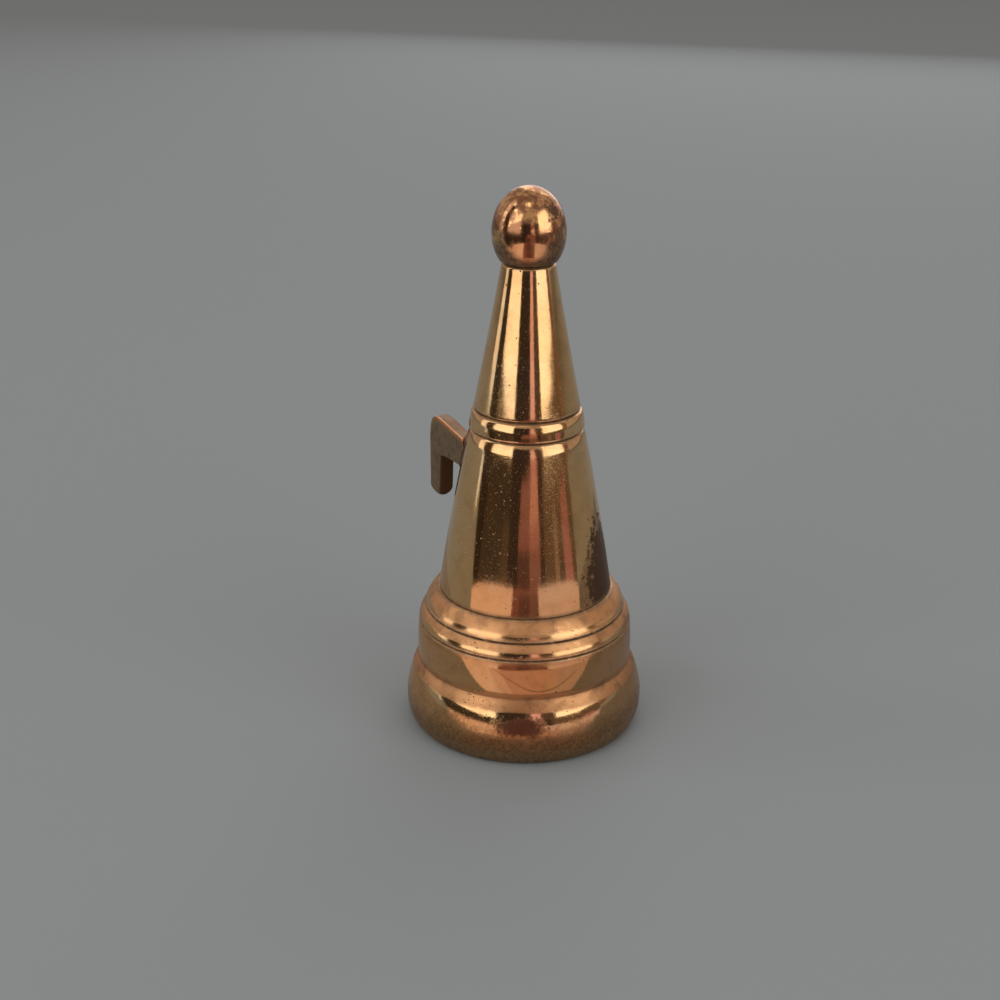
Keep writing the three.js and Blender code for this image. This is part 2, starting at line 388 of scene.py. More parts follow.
def specks(tree, spacing, radius, chance, shift):        # sparse ragged spots, 1 in the middle of each
    place = onSurface(tree, shift)
    bend = tree.nodes.new("ShaderNodeTexNoise")
    bend.inputs["Scale"].default_value = speck["bendRate"] / radius
    tree.links.new(place, bend.inputs["Vector"])
    moved = tree.nodes.new("ShaderNodeVectorMath")
    moved.operation = "MULTIPLY_ADD"
    tree.links.new(bend.outputs["Color"], moved.inputs[0])
    moved.inputs[1].default_value = (speck["bendReach"] * radius,) * 3
    tree.links.new(place, moved.inputs[2])
    cells = tree.nodes.new("ShaderNodeTexVoronoi")
    cells.inputs["Scale"].default_value = 1 / spacing
    tree.links.new(moved.outputs[0], cells.inputs["Vector"])
    split = tree.nodes.new("ShaderNodeSeparateColor")
    tree.links.new(cells.outputs["Color"], split.inputs["Color"])
    chosen = calc(tree, "LESS_THAN", split.outputs["Red"], chance)
    reach = calc(tree, "MULTIPLY_ADD", split.outputs["Green"], speck["spread"] * radius / spacing)
    reach.node.inputs[2].default_value = speck["smallest"] * radius / spacing
    near = calc(tree, "DIVIDE", cells.outputs["Distance"], reach)
    return times(tree, chosen, fade(tree, near, 1.0, speck["core"]))


scratch = {
    "noise": (2.0, 0.6, 0.0),        # detail, roughness and twist
    "stretch": (1, 1, 26),
    "width": (0.035, 0.004),        # where a line starts and is deepest, off the noise's middle
}


def scratches(tree, turn, spacing, shift):        # thin lines, mostly along one direction
    lines = cloud(tree, spacing, *scratch["noise"], shift, stretch=scratch["stretch"], turn=turn)
    off = calc(tree, "ABSOLUTE", calc(tree, "SUBTRACT", lines, 0.5))
    return fade(tree, off, *scratch["width"])


def setRelief(tree, shader, relief):        # heights in mm
    bump = tree.nodes.new("ShaderNodeBump")
    bump.inputs["Strength"].default_value = 1.0
    bump.inputs["Distance"].default_value = mm
    feed(tree, bump.inputs["Height"], relief)
    feed(tree, shader.inputs["Normal"], bump.outputs["Normal"])


def newMaterial(name):
    material = bpy.data.materials.new(name)
    material.use_nodes = True
    tree = material.node_tree
    return material, tree, tree.nodes["Principled BSDF"]


# Polished and worn brass. Sizes and heights are in mm. A noise is its lump size, detail, roughness, twist
# and shift, and its range says from where to where it fades in.
polish = {
    "gold": (0.80, 0.475, 0.205),
    "pale": (0.83, 0.53, 0.26),
    "paleNoise": (7.0, 3.0, 0.5, 0.0, 0.0),
    "paleRange": (0.38, 0.64),
    "red": (0.72, 0.33, 0.17),        # copper blush
    "redNoise": (1.6, 5.0, 0.65, 0.0, 31.0),
    "redRange": (0.52, 0.72),
    "redAmount": 0.35,
    "film": (0.50, 0.31, 0.13),        # the thin brown film of old polish and touch
    "filmNoise": (3.2, 6.0, 0.62, 0.4, 57.0),
    "filmRange": (0.46, 0.70),
    "filmAmount": 0.40,
    "filmRoughness": 0.22,
    "clean": (),        # ovals that are kept brighter, as (place, reach)
    "cleanRange": (0.35, 0.75),
    "fold": (0.42, 0.235, 0.115),        # near a groove or crease, where no polishing cloth gets
    "foldNoise": (1.3, 5.0, 0.7, 0.0, 12.0),
    "foldRange": (0.30, 0.62),
    "foldAmount": 0.7,
    "foldRoughness": 0.25,
    "foldSpot": (0.26, 0.12, 0.06),
    "foldSpotNoise": (2.2, 5.0, 0.6, 0.3, 35.0),
    "foldSpotRange": (0.45, 0.68),
    "foldSpots": 0.3,
    "tarnish": (0.40, 0.235, 0.125),
    "oldTarnish": (0.17, 0.105, 0.05),
    "speckleNoise": (0.42, 6.0, 0.75, 0.0, 83.0),
    "speckleRange": (0.42, 0.6),
    "blotchNoise": (2.4, 5.0, 0.6, 0.3, 7.0),
    "tarnishAndShadeHeights": (6.8, 0.4),        # fades out and is full at these heights; near the table the darkening also stands for painted contact shade
    "tarnishStart": (0.0, 0.12),
    "tarnishMix": (0.9, 0.75, 0.75, -0.72),        # height, speckle, blotch and what is taken off
    "tarnishEdge": (0.12, 0.85),
    "tarnishAmount": 0.82,
    "tarnishRoughness": 0.40,
    "stainAndReflectionPlace": (10.7, -1.6, 20.0),        # an old stain low on the cone's right side
    "stainReach": (6.0, 6.0, 12.5),
    "stainAndReflectionWeight": 0.6,
    "stainAndReflectionNoise": (0.8, 7.0, 0.72, 0.2, 29.0),
    "stainAndReflectionMix": (0.3, -0.15),        # blotch and what is taken off
    "stainAndReflectionRange": (0.63, 0.71),
    "stainAndReflectionStart": (0.0, 0.04),
    "stainAndReflectionColour": (0.12, 0.065, 0.035),
    "stainAndReflectionAmount": 0.95,
    "stainAndReflectionRoughness": 0.42,
    "worn": (0.93, 0.62, 0.32),
    "wornNoise": (1.1, 4.0, 0.6, 0.0, 5.0),
    "wornRange": (0.34, 0.56),
    "wornAmount": 0.8,
    "pit": (0.03, 0.018, 0.012),
    "pitAmount": 0.9,
    "pits": (0.95, 0.105, 0.33, 8.0),        # spacing, radius, chance and shift
    "clusterPits": (0.62, 0.08, 0.6, 3.0),
    "clusterNoise": (5.5, 3.0, 0.6, 0.0, 71.0),
    "clusterRange": (0.42, 0.60),
    "clusterPlace": (-9.0, -5.0, 29.0),        # the left flank is pitted most
    "clusterReach": (7.0, 7.0, 13.0),
    "clusterStart": (0.0, 0.4),
    "foldPits": (0.32, 0.09, 0.8, 52.0),
    "foldPitPlaces": (),        # ovals with a cluster of pits
    "foldPitNoise": (3.5, 2.0, 0.5, 0.0, 38.0),
    "foldPitRange": (0.54, 0.66),
    "foldPitStart": (0.15, 0.5),
    "grime": (0.045, 0.028, 0.016),
    "grimeNoise": (0.9, 4.0, 0.6, 0.0, 44.0),
    "grimeRange": (0.22, 0.52),
    "grimeLeast": 0.45,
    "grimeAmount": 0.93,
    "dirtRoughness": 0.6,
    "dirtDullness": 0.45,        # how much less metallic dirt is
    "soot": (0.025, 0.021, 0.018),
    "sootNoise": (2.2, 5.0, 0.65, 0.0, 20.0),
    "sootMix": (0.022, -0.3),        # for each mm of height, and what is taken off
    "sootRange": (0.12, 0.65),
    "insideAmount": 0.9,
    "insideDullness": 0.45,
    "insideRoughness": 0.5,
    "roughness": 0.06,
    "grainNoise": (0.13, 2.0, 0.8, 0.0, 15.0),
    "grainRange": (0.50, 0.66),
    "grainPatchNoise": (4.5, 3.0, 0.6, 0.0, 64.0),
    "grainPatchRange": (0.38, 0.62),
    "grainPatchStretch": (1, 1, 2.4),
    "grainPlace": (7.0, -7.5, 31.0),        # where it is strongest
    "grainReach": (5.0, 5.0, 14.0),
    "grainStart": (0.0, 0.35),
    "grainMix": (0.75, 0.6, 0.12),        # in patches, at its place and everywhere
    "grainHeights": (23.5, 28.5),        # where the fine grain comes in
    "grainAmount": 0.5,
    "grainRoughness": 0.42,
    "dust": ((0.17, 0.032, 0.5, 19.0), (0.3, 0.045, 0.4, 66.0)),
    "waveNoise": (5.0, 2.0, 0.4, 0.0, 90.0),
    "turningNoise": (0.28, 3.0, 0.6, 0.0, 2.0),
    "turningStretch": (110, 110, 1),
    "toolNoise": (0.5, 4.0, 0.6, 0.0, 18.0),
    "toolStretch": (40, 40, 1),
    "scratches": (((8, 14, 0), 0.5, 11.0), ((64, -22, 40), 0.8, 27.0), ((86, 35, 10), 0.9, 49.0)),
    "waveDepth": 0.003,
    "turningDepth": 0.0004,
    "scratchDepth": 0.0005,
    "pitDepth": 0.03,
    "grainDepth": 0.0009,
    "tarnishDepth": 0.012,
    "toolDepth": 0.03,
}


def tarnishAndLowShade(tree, look, speckle, blotch):        # speckled tarnish that climbs from the rim; its darkening towards the bottom is also painted contact shade
    high, fine, broad, off = look["tarnishMix"]
    lowness = fade(tree, heightOf(tree), *look["tarnishAndShadeHeights"])
    speckled = times(tree, speckle, fine)
    mixed = plus(tree, times(tree, lowness, high), speckled, times(tree, blotch, broad), off)
    mixed = times(tree, mixed, fade(tree, lowness, *look["tarnishStart"]))
    return fade(tree, mixed, *look["tarnishEdge"])


def stainAndReflectionLayer(tree, look, blotch):        # one dark patch, broken up at its edge: an old stain on the cone and the ball, and on the foot a painted dark reflection on the front of the rim
    broad, off = look["stainAndReflectionMix"]
    around = times(tree, nearPlace(tree, look["stainAndReflectionPlace"], look["stainReach"]), look["stainAndReflectionWeight"])
    dark = plus(tree, around, cloud(tree, *look["stainAndReflectionNoise"]), times(tree, blotch, broad), off)
    return times(tree, fade(tree, dark, *look["stainAndReflectionRange"]), fade(tree, around, *look["stainAndReflectionStart"]))


def pitLayer(tree, look, stain):
    clusterPlace = nearPlace(tree, look["clusterPlace"], look["clusterReach"])
    clusters = most(tree, patches(tree, look, "cluster"), fade(tree, clusterPlace, *look["clusterStart"]))
    pitted = most(tree, 0.0, *(nearPlace(tree, *spot) for spot in look["foldPitPlaces"]))
    pitted = most(tree, pitted, times(tree, stain, patches(tree, look, "foldPit")))
    foldPits = times(tree, specks(tree, *look["foldPits"]), fade(tree, pitted, *look["foldPitStart"]))
    clusterPits = times(tree, specks(tree, *look["clusterPits"]), clusters)
    return most(tree, clusterPits, specks(tree, *look["pits"]), foldPits)


def grainLayer(tree, look):        # fine grain, in places and above a height
    patchy, placed, everywhere = look["grainMix"]
    inPatches = patches(tree, look, "grainPatch", stretch=look["grainPatchStretch"])
    atPlace = fade(tree, nearPlace(tree, look["grainPlace"], look["grainReach"]), *look["grainStart"])
    amount = plus(tree, times(tree, inPatches, patchy), times(tree, atPlace, placed), everywhere)
    heights = fade(tree, heightOf(tree), *look["grainHeights"])
    return times(tree, patches(tree, look, "grain"), amount, heights)


def brassLayers(tree, look):        # where each finish lies, from 0 to 1
    stain = stored(tree, "stain")
    kept = most(tree, 0.0, *(nearPlace(tree, *spot) for spot in look["clean"]))
    unkept = fade(tree, without(tree, kept), *look["cleanRange"])
    speckle = cloud(tree, *look["speckleNoise"])
    blotch = cloud(tree, *look["blotchNoise"])
    grime = patches(tree, look, "grime", look["grimeLeast"], 1.0)
    return {
        "film": times(tree, patches(tree, look, "film"), look["filmAmount"], unkept),
        "fold": times(tree, stain, patches(tree, look, "fold")),
        "speckle": speckle,
        "tarnish": times(tree, tarnishAndLowShade(tree, look, speckle, blotch), unkept),
        "dark": stainAndReflectionLayer(tree, look, blotch),
        "worn": times(tree, stored(tree, "edgeWearAndHighlight"), patches(tree, look, "worn")),
        "pits": pitLayer(tree, look, stain),
        "grime": times(tree, stored(tree, "crevice"), grime),
        "grain": grainLayer(tree, look),
        "inside": stored(tree, "inside"),
    }


def brassColour(tree, look, layers):
    colour = blend(tree, patches(tree, look, "pale"), look["gold"], look["pale"])
    foldSpots = patches(tree, look, "foldSpot", 0.0, look["foldSpots"])
    foldColour = blend(tree, foldSpots, look["fold"], look["foldSpot"])
    flecks = fade(tree, layers["speckle"], *look["speckleRange"])
    tarnishColour = blend(tree, flecks, look["tarnish"], look["oldTarnish"])
    climb, off = look["sootMix"]
    soot = plus(tree, times(tree, heightOf(tree), climb), cloud(tree, *look["sootNoise"]), off)
    innerColour = blend(tree, fade(tree, soot, *look["sootRange"]), look["oldTarnish"], look["soot"])
    for share, over in (
        (times(tree, patches(tree, look, "red"), look["redAmount"]), look["red"]),
        (layers["film"], look["film"]),
        (times(tree, layers["fold"], look["foldAmount"]), foldColour),
        (times(tree, layers["tarnish"], look["tarnishAmount"]), tarnishColour),
        (times(tree, layers["dark"], look["stainAndReflectionAmount"]), look["stainAndReflectionColour"]),
        (times(tree, layers["worn"], look["wornAmount"]), look["worn"]),
        (times(tree, layers["pits"], look["pitAmount"]), look["pit"]),
        (times(tree, layers["grime"], look["grimeAmount"]), look["grime"]),
        (times(tree, layers["inside"], look["insideAmount"]), innerColour),
    ):
        colour = blend(tree, share, colour, over)
    return colour


def brassGloss(tree, look, layers, darkening):        # dust, tarnish and dirt are duller than the polish
    dust = most(tree, *(specks(tree, *dots) for dots in look["dust"]))
    grain = times(tree, layers["grain"], look["grainAmount"])
    return most(
        tree,
        times(tree, most(tree, grain, dust), look["grainRoughness"]),
        times(tree, layers["film"], look["filmRoughness"]),
        times(tree, layers["fold"], look["foldRoughness"]),
        times(tree, layers["tarnish"], look["tarnishRoughness"]),
        times(tree, layers["dark"], look["stainAndReflectionRoughness"]),
        times(tree, darkening, look["dirtRoughness"]),
        times(tree, layers["inside"], look["insideRoughness"]),
        look["roughness"],
    )


def brassRelief(tree, look, layers):
    marks = most(tree, *(scratches(tree, *lines) for lines in look["scratches"]))
    relief = times(tree, cloud(tree, *look["waveNoise"]), look["waveDepth"])
    turning = cloud(tree, *look["turningNoise"], stretch=look["turningStretch"])
    toolMarks = cloud(tree, *look["toolNoise"], stretch=look["toolStretch"])
    for part in (
        times(tree, turning, look["turningDepth"]),
        times(tree, marks, -look["scratchDepth"]),
        times(tree, layers["pits"], -look["pitDepth"]),
        times(tree, layers["grain"], look["grainDepth"]),
        times(tree, layers["tarnish"], layers["speckle"], look["tarnishDepth"]),
        times(tree, layers["dark"], layers["speckle"], look["tarnishDepth"]),
        times(tree, layers["inside"], toolMarks, look["toolDepth"]),
    ):
        relief = calc(tree, "ADD", relief, part)
    return relief


def brassMaterial(name, look):
    material, tree, shader = newMaterial(name)
    layers = brassLayers(tree, look)
    darkening = most(tree, layers["grime"], layers["pits"])
    bare = without(tree, times(tree, darkening, look["dirtDullness"]))
    bare = calc(tree, "SUBTRACT", bare, times(tree, layers["inside"], look["insideDullness"]), True)
    feed(tree, shader.inputs["Base Color"], brassColour(tree, look, layers))
    feed(tree, shader.inputs["Metallic"], bare)
    feed(tree, shader.inputs["Roughness"], brassGloss(tree, look, layers, darkening))
    setRelief(tree, shader, brassRelief(tree, look, layers))
    return material


polishedBrass = brassMaterial("polishedBrass", polish)
footBrass = brassMaterial("footBrass", {        # pinker, and satin where it was hard to polish
    **polish,
    "fold": (0.69, 0.355, 0.16),
    "foldAmount": 0.92,
    "foldRange": (0.20, 0.42),
    "foldRoughness": 0.41,
    "foldSpots": 0.65,
    "tarnish": (0.30, 0.175, 0.095),
    "oldTarnish": (0.13, 0.08, 0.042),
    # darker towards the table: tarnish, and painted contact shade
    "tarnishAndShadeHeights": (8.0, 0.8),
    # on the foot the dark patch is a painted reflection, a dark red oval on the front of the rim
    "stainAndReflectionPlace": (2.3, -15.1, 5.5),
    "stainReach": (4.6, 3.2, 1.8),
    "stainAndReflectionRange": (0.56, 0.84),
    "stainAndReflectionColour": (0.17, 0.07, 0.042),
    "grime": (0.07, 0.04, 0.023),
    "foldPitPlaces": (((1.9, -12.6, 16.7), (1.7, 1.7, 0.9)), ((-2.2, -14.2, 7.9), (1.8, 1.8, 0.8))),
})
ballBrass = brassMaterial("ballBrass", {        # the knob is the most handled, and the most tarnished
    **polish,
    "pale": (0.80, 0.45, 0.22),
    "film": (0.28, 0.12, 0.065),
    "filmNoise": (1.4, 6.0, 0.62, 0.4, 57.0),
    "filmRange": (0.42, 0.53),
    "filmAmount": 0.85,
    "red": (0.72, 0.31, 0.18),
    "redNoise": (1.0, 5.0, 0.65, 0.0, 31.0),
    "redAmount": 0.8,
    "clean": (((2.4, -3.4, 66.7), (1.5, 2.4, 2.3)), ((0.9, -4.4, 63.3), (3.6, 3.0, 2.6))),
    "tarnish": (0.30, 0.20, 0.115),
    "oldTarnish": (0.10, 0.07, 0.045),
    "tarnishAndShadeHeights": (66.3, 61.3),
    "stainAndReflectionPlace": (3.4, -1.7, 67.7),
    "stainReach": (2.5, 2.6, 2.2),
    "stainAndReflectionWeight": 0.30,
    "stainAndReflectionColour": (0.13, 0.065, 0.045),
    "grainHeights": (59.0, 60.0),
})


# Duller metals: the flat hook, the braze and the solder
dull = {
    "colour": (0.30, 0.195, 0.10),
    "second": (0.34, 0.215, 0.115),
    "secondNoise": (1.6, 4.0, 0.6, 0.0, 0.0),
    "secondRange": (0.40, 0.62),
    "bright": (0.60, 0.29, 0.13),        # where the edges are rubbed; on the hook it also paints the highlight along the front edge and the reflection on the top face
    "brightNoise": (0.7, 5.0, 0.6, 0.0, 60.0),
    "brightRange": (0.30, 0.52),
    "brightLeast": 0.35,
    "brightStart": (0.1, 0.8),
    "brightRoughness": 0.16,
    "dark": (0.065, 0.045, 0.032),
    "darkNoise": (1.0, 6.0, 0.7, 0.3, 22.0),
    "darkRange": (0.46, 0.68),
    "darkAmount": 0.7,
    "darkest": 0.7,        # how dark the dullest metal is
    "spots": (0.5, 0.07, 0.6, 9.0),        # spacing, radius, chance and shift
    "spotAmount": 0.8,
    "spotDepth": 0.02,
    "grimeAmount": 0.93,
    "dirtDullness": 0.35,
    "roughness": (0.30, 0.55),
    "reliefNoise": (0.6, 5.0, 0.6, 0.0, 40.0),
    "reliefHeight": 0.02,
}
copper = {
    **dull,
    "colour": (0.16, 0.085, 0.05),
    "second": (0.24, 0.135, 0.08),
    "secondNoise": (0.7, 4.0, 0.6, 0.0, 0.0),
    "bright": (0.70, 0.36, 0.20),
    "brightRoughness": 0.25,
    "dark": (0.07, 0.035, 0.025),
    "darkNoise": (0.35, 6.0, 0.7, 0.3, 22.0),
    "darkAmount": 0.85,
    "roughness": (0.45, 0.65),
    "reliefNoise": (0.3, 5.0, 0.6, 0.0, 40.0),
    "reliefHeight": 0.05,
}
tin = {
    **dull,
    "colour": (0.44, 0.43, 0.41),
    "second": (0.55, 0.54, 0.51),
    "secondNoise": (1.5, 4.0, 0.6, 0.0, 0.0),
    "bright": (0.62, 0.60, 0.57),
    "brightRoughness": 0.3,
    "dark": (0.13, 0.11, 0.09),
    "darkNoise": (0.8, 6.0, 0.7, 0.3, 22.0),
    "darkAmount": 0.6,
    "roughness": (0.32, 0.6),
    "reliefNoise": (0.5, 5.0, 0.6, 0.0, 40.0),
    "reliefHeight": 0.03,
}


def dullMaterial(name, look):
    material, tree, shader = newMaterial(name)
    wearAndHighlight = times(tree, stored(tree, "edgeWearAndHighlight"), patches(tree, look, "bright", look["brightLeast"], 1.0))
    spots = specks(tree, *look["spots"])
    dark = times(tree, patches(tree, look, "dark"), look["darkAmount"], without(tree, wearAndHighlight))
    dark = most(tree, dark, times(tree, spots, look["spotAmount"]))
    dark = most(tree, dark, times(tree, stored(tree, "crevice"), look["grimeAmount"]))
    colour = blend(tree, patches(tree, look, "second"), look["colour"], look["second"])
    colour = blend(tree, wearAndHighlight, colour, look["bright"])
    feed(tree, shader.inputs["Base Color"], blend(tree, dark, colour, look["dark"]))
    feed(tree, shader.inputs["Metallic"], without(tree, times(tree, dark, look["dirtDullness"])))
    dullness = fade(tree, dark, 0.0, look["darkest"], *look["roughness"])
    rough = fade(tree, wearAndHighlight, *look["brightStart"], dullness, look["brightRoughness"])
    feed(tree, shader.inputs["Roughness"], rough)
    relief = times(tree, cloud(tree, *look["reliefNoise"]), look["reliefHeight"])
    setRelief(tree, shader, calc(tree, "SUBTRACT", relief, times(tree, spots, look["spotDepth"])))
    return material


dullBrass = dullMaterial("dullBrass", dull)
copperBraze = dullMaterial("copperBraze", copper)
greySolder = dullMaterial("greySolder", tin)
print("metals mixed")


# The ball on top, a little taller than wide
ball = {
    "crestAboveNeck": 3.6,
    "lowerHalf": 5.45,
    "edge": 0.2,
    "neckFlat": 3.0,
    "soft": 0.08,
    "steps": (40, 56),        # below and above the crest
    "turns": 192,
    "unevenness": 0.006,
    "seams": ((neckTop, 0.4, 1.0),),        # height, reach and strength of the dirt in a joint
}


def makeBall():
    crest = neckTop + ball["crestAboveNeck"]
    cap = ballTop - crest
    below, above = ball["steps"]
    low = math.asin((ball["edge"] - ball["crestAboveNeck"]) / ball["lowerHalf"])
    bulge = []
    for i in range(below + 1):
        angle = low * (1 - i / below)
        bulge.append((ballRadius * math.cos(angle), crest + ball["lowerHalf"] * math.sin(angle)))
    for i in range(1, above):
        angle = math.pi / 2 * i / above
        bulge.append((ballRadius * math.cos(angle), crest + cap * math.sin(angle)))
    bulge.append((0.0, ballTop))
    flat = [(0.0, neckTop), (ball["neckFlat"], neckTop)]
    profile = joined([flat, [flat[-1], bulge[0]], bulge], ball["soft"])
    finish(spun("ballFinial", profile, ball), "ball_finial", ballBrass)


makeBall()
print("ball made")


# The cone: a bowed skirt, two turned grooves with a crowned band between them, and a straight top
cone = {
    "bottomRadius": 11.05,
    "skirtTopRadius": 7.25,
    "skirtSwell": 0.15,
    "lipStart": 38.75,        # the skirt rounds over from here to the groove
    "lipDrop": 0.16,
    "lipSteps": 8,
    "grooves": (40.0, 42.55),
    "grooveWidth": 0.5,
    "grooveDepth": 0.24,
    "bandRadii": (7.24, 6.80),
    "bandCrest": (7.13, 41.77),        # what the band leans towards
    "bandSteps": 14,
    "topStartRadius": 6.66,
    "topHollow": 0.06,
    "neckRadius": 3.3,
    "neckBreak": 0.3,
    "wall": 1.8,
    "domeTop": 52.0,
    "domeHeight": 2.0,
    "domeSteps": 12,
    "spigotRadius": 10.1,
    "spigotBottom": 15.0,
    "soft": 0.1,
    "hollowSoft": 0.3,
    "hollowSpacing": 1.0,
    "turns": 256,
    "unevenness": 0.004,
    "seams": ((footTop, 0.3, 0.8), (neckTop, 0.3, 0.8)),
}


def coneHollow():        # from the spigot's mouth up to the dome
    spacing = cone["hollowSpacing"]
    lowGroove = cone["grooves"][0]
    seat = (cone["bottomRadius"] - cone["wall"], footTop)
    bend = (cone["skirtTopRadius"] - cone["wall"], lowGroove)
    domeStart = cone["domeTop"] - cone["domeHeight"]
    taper = (cone["skirtTopRadius"] - cone["neckRadius"]) / (neckTop - lowGroove)
    domeRadius = bend[0] - taper * (domeStart - lowGroove)
    dome = []
    for i in range(cone["domeSteps"]):
        angle = math.pi / 2 * i / cone["domeSteps"]
        dome.append((domeRadius * math.cos(angle), domeStart + cone["domeHeight"] * math.sin(angle)))
    dome.append((0.0, cone["domeTop"]))
    return joined([
        bowed((seat[0], cone["spigotBottom"]), seat, spacing=spacing),
        bowed(seat, bend, cone["skirtSwell"], spacing),
        bowed(bend, dome[0], spacing=spacing),
        dome,
    ], cone["hollowSoft"])


def coneSkirt(top):        # the bowed flank, and the worn lip under the groove
    skirtEnd = (cone["skirtTopRadius"], top[1])
    skirt = bowed((cone["bottomRadius"], footTop), skirtEnd, cone["skirtSwell"])
    skirt = [point for point in skirt if point[1] < cone["lipStart"]]
    first, last = skirt[-2:]
    lean = (last[0] - first[0]) / (last[1] - first[1])
    half = (top[1] - last[1]) / 2
    lipBend = (last[0] + lean * half, last[1] + half)
    return skirt + quadratic(last, lipBend, top, cone["lipSteps"])[1:]


def coneOutside():        # from the spigot's end up to the neck
    half = cone["grooveWidth"] / 2
    lowGroove, highGroove = cone["grooves"]
    bandLow, bandHigh = cone["bandRadii"]
    spigotLow = (cone["spigotRadius"], cone["spigotBottom"])
    spigotHigh = (cone["spigotRadius"], footTop)
    skirtTop = (cone["skirtTopRadius"] - cone["lipDrop"], lowGroove - half)
    bandStart = (bandLow, lowGroove + half)
    bandEnd = (bandHigh, highGroove - half)
    topStart = (cone["topStartRadius"], highGroove + half)
    neckLow = (cone["neckRadius"], neckTop - cone["neckBreak"])
    neckFlat = (cone["neckRadius"] - cone["neckBreak"], neckTop)
    return joined([
        bowed(spigotLow, spigotHigh, spacing=cone["hollowSpacing"]),
        [spigotHigh, (cone["bottomRadius"], footTop)],
        coneSkirt(skirtTop),
        *grooveLines(skirtTop, bandStart, cone["grooveDepth"]),
        quadratic(bandStart, cone["bandCrest"], bandEnd, cone["bandSteps"]),
        *grooveLines(bandEnd, topStart, cone["grooveDepth"]),
        bowed(topStart, neckLow, -cone["topHollow"]),
        [neckLow, neckFlat],
        [neckFlat, (0.0, neckTop)],
    ], cone["soft"])


def makeCone():
    hollow, outside = coneHollow(), coneOutside()
    profile = joined([hollow[::-1], [hollow[0], outside[0]], outside], cone["soft"])
    finish(spun("coneBody", profile, cone, len(hollow)), "cone_body", polishedBrass)


makeCone()
print("cone made")


# The foot: rim, cove, short cylinder, bead and shoulder, with an open bore under a thick crown
foot = {
    "restRadius": 14.0,
    "crestHeight": 3.4,
    "underFullness": (0.65, 0.45),        # how far the rim's underside leans out, and up
    "crestFullness": 1.3,        # how far the rim stays upright above its crest
    "rimShoulder": (14.8, 6.95),        # what the rim's upper face leans towards
    "rimTop": (13.8, 8.8),
    "cylinderTop": (13.68, 14.0),
    "cylinderSwell": 0.12,
    "beadTop": (12.85, 16.0),
    "beadSwell": 0.13,
    "ledgeRadius": 11.25,
    "shoulderSwell": 0.22,
    "grooveWidths": (0.36, 0.24),
    "grooveDepth": 0.18,
    "dirtReach": 0.22,
    "satin": ((7.0, 9.5, 0.45), (14.85, 16.05, 0.3), (16.8, 18.6, 0.4)),        # from, to and how soft
    "boreRadius": 12.2,
    "mouthBreak": 0.5,
    "crownUnderside": 15.6,
    "crownBreak": 0.9,
    "crownBow": 0.1,
    "collarRadius": 10.15,
    "soft": 0.1,
    "insideSoft": 0.15,
    "rimSteps": (24, 36),        # below and above the crest
    "beadSpacing": 0.15,
    "shoulderSpacing": 0.2,
    "bendSpacing": 0.4,
    "crownSpacing": 0.5,
    "boreSpacing": 1.0,
    "turns": 288,
    "unevenness": 0.01,
    "seams": ((footTop, 0.25, 0.7),),
}


def footInside():        # down the collar and the bore to the rest
    crown, bore = foot["crownUnderside"], foot["boreRadius"]
    collarTop = (foot["collarRadius"], footTop)
    collarEnd = (foot["collarRadius"], crown)
    crownEdge = (bore - foot["crownBreak"], crown)
    boreTop = (bore, crown - foot["crownBreak"])
    boreEnd = (bore, foot["mouthBreak"])
    mouth = (bore + foot["mouthBreak"], 0.0)
    return joined([
        bowed(collarTop, collarEnd, spacing=foot["boreSpacing"]),
        bowed(collarEnd, crownEdge, spacing=foot["crownSpacing"]),
        bowed(crownEdge, boreTop, foot["crownBow"], foot["bendSpacing"]),
        bowed(boreTop, boreEnd, spacing=foot["boreSpacing"]),
        [boreEnd, mouth],
        bowed(mouth, (foot["restRadius"], 0.0), spacing=foot["bendSpacing"]),
    ], foot["insideSoft"])


def footRim():        # from the rest over the crest to the cove
    out, up = foot["underFullness"]
    underSteps, overSteps = foot["rimSteps"]
    restRadius, crestHeight = foot["restRadius"], foot["crestHeight"]
    crestRadius = rimRadius - foot["unevenness"]
    rest = (restRadius, 0.0)
    crest = (crestRadius, crestHeight)
    flat = (restRadius + out * (crestRadius - restRadius), 0.0)
    under = cubic(rest, flat, (crestRadius, up * crestHeight), crest, underSteps)
    upright = (crestRadius, crestHeight + foot["crestFullness"])
    return under + cubic(crest, upright, foot["rimShoulder"], foot["rimTop"], overSteps)[1:]


def footOutside():        # up from the table to the collar
    lowHalf, highHalf = (width / 2 for width in foot["grooveWidths"])
    beadLow, beadHigh = foot["cylinderTop"], foot["beadTop"]
    cylinderTop = (beadLow[0], beadLow[1] - lowHalf)
    beadStart = (beadLow[0], beadLow[1] + lowHalf)
    beadEnd = (beadHigh[0], beadHigh[1] - highHalf)
    shoulderStart = (beadHigh[0], beadHigh[1] + highHalf)
    ledge = (foot["ledgeRadius"], footTop)
    return joined([
        footRim(),
        bowed(foot["rimTop"], cylinderTop, foot["cylinderSwell"]),
        *grooveLines(cylinderTop, beadStart, foot["grooveDepth"]),
        bowed(beadStart, beadEnd, foot["beadSwell"], foot["beadSpacing"]),
        *grooveLines(beadEnd, shoulderStart, foot["grooveDepth"]),
        bowed(shoulderStart, ledge, foot["shoulderSwell"], foot["shoulderSpacing"]),
        [ledge, (foot["collarRadius"], footTop)],
    ], foot["soft"])


def makeFoot():
    inside, outside = footInside(), footOutside()
    profile = joined([inside, outside], foot["insideSoft"])
    finish(spun("bellFoot", profile, foot, len(inside)), "bell_foot", footBrass)


makeFoot()
print("foot made")


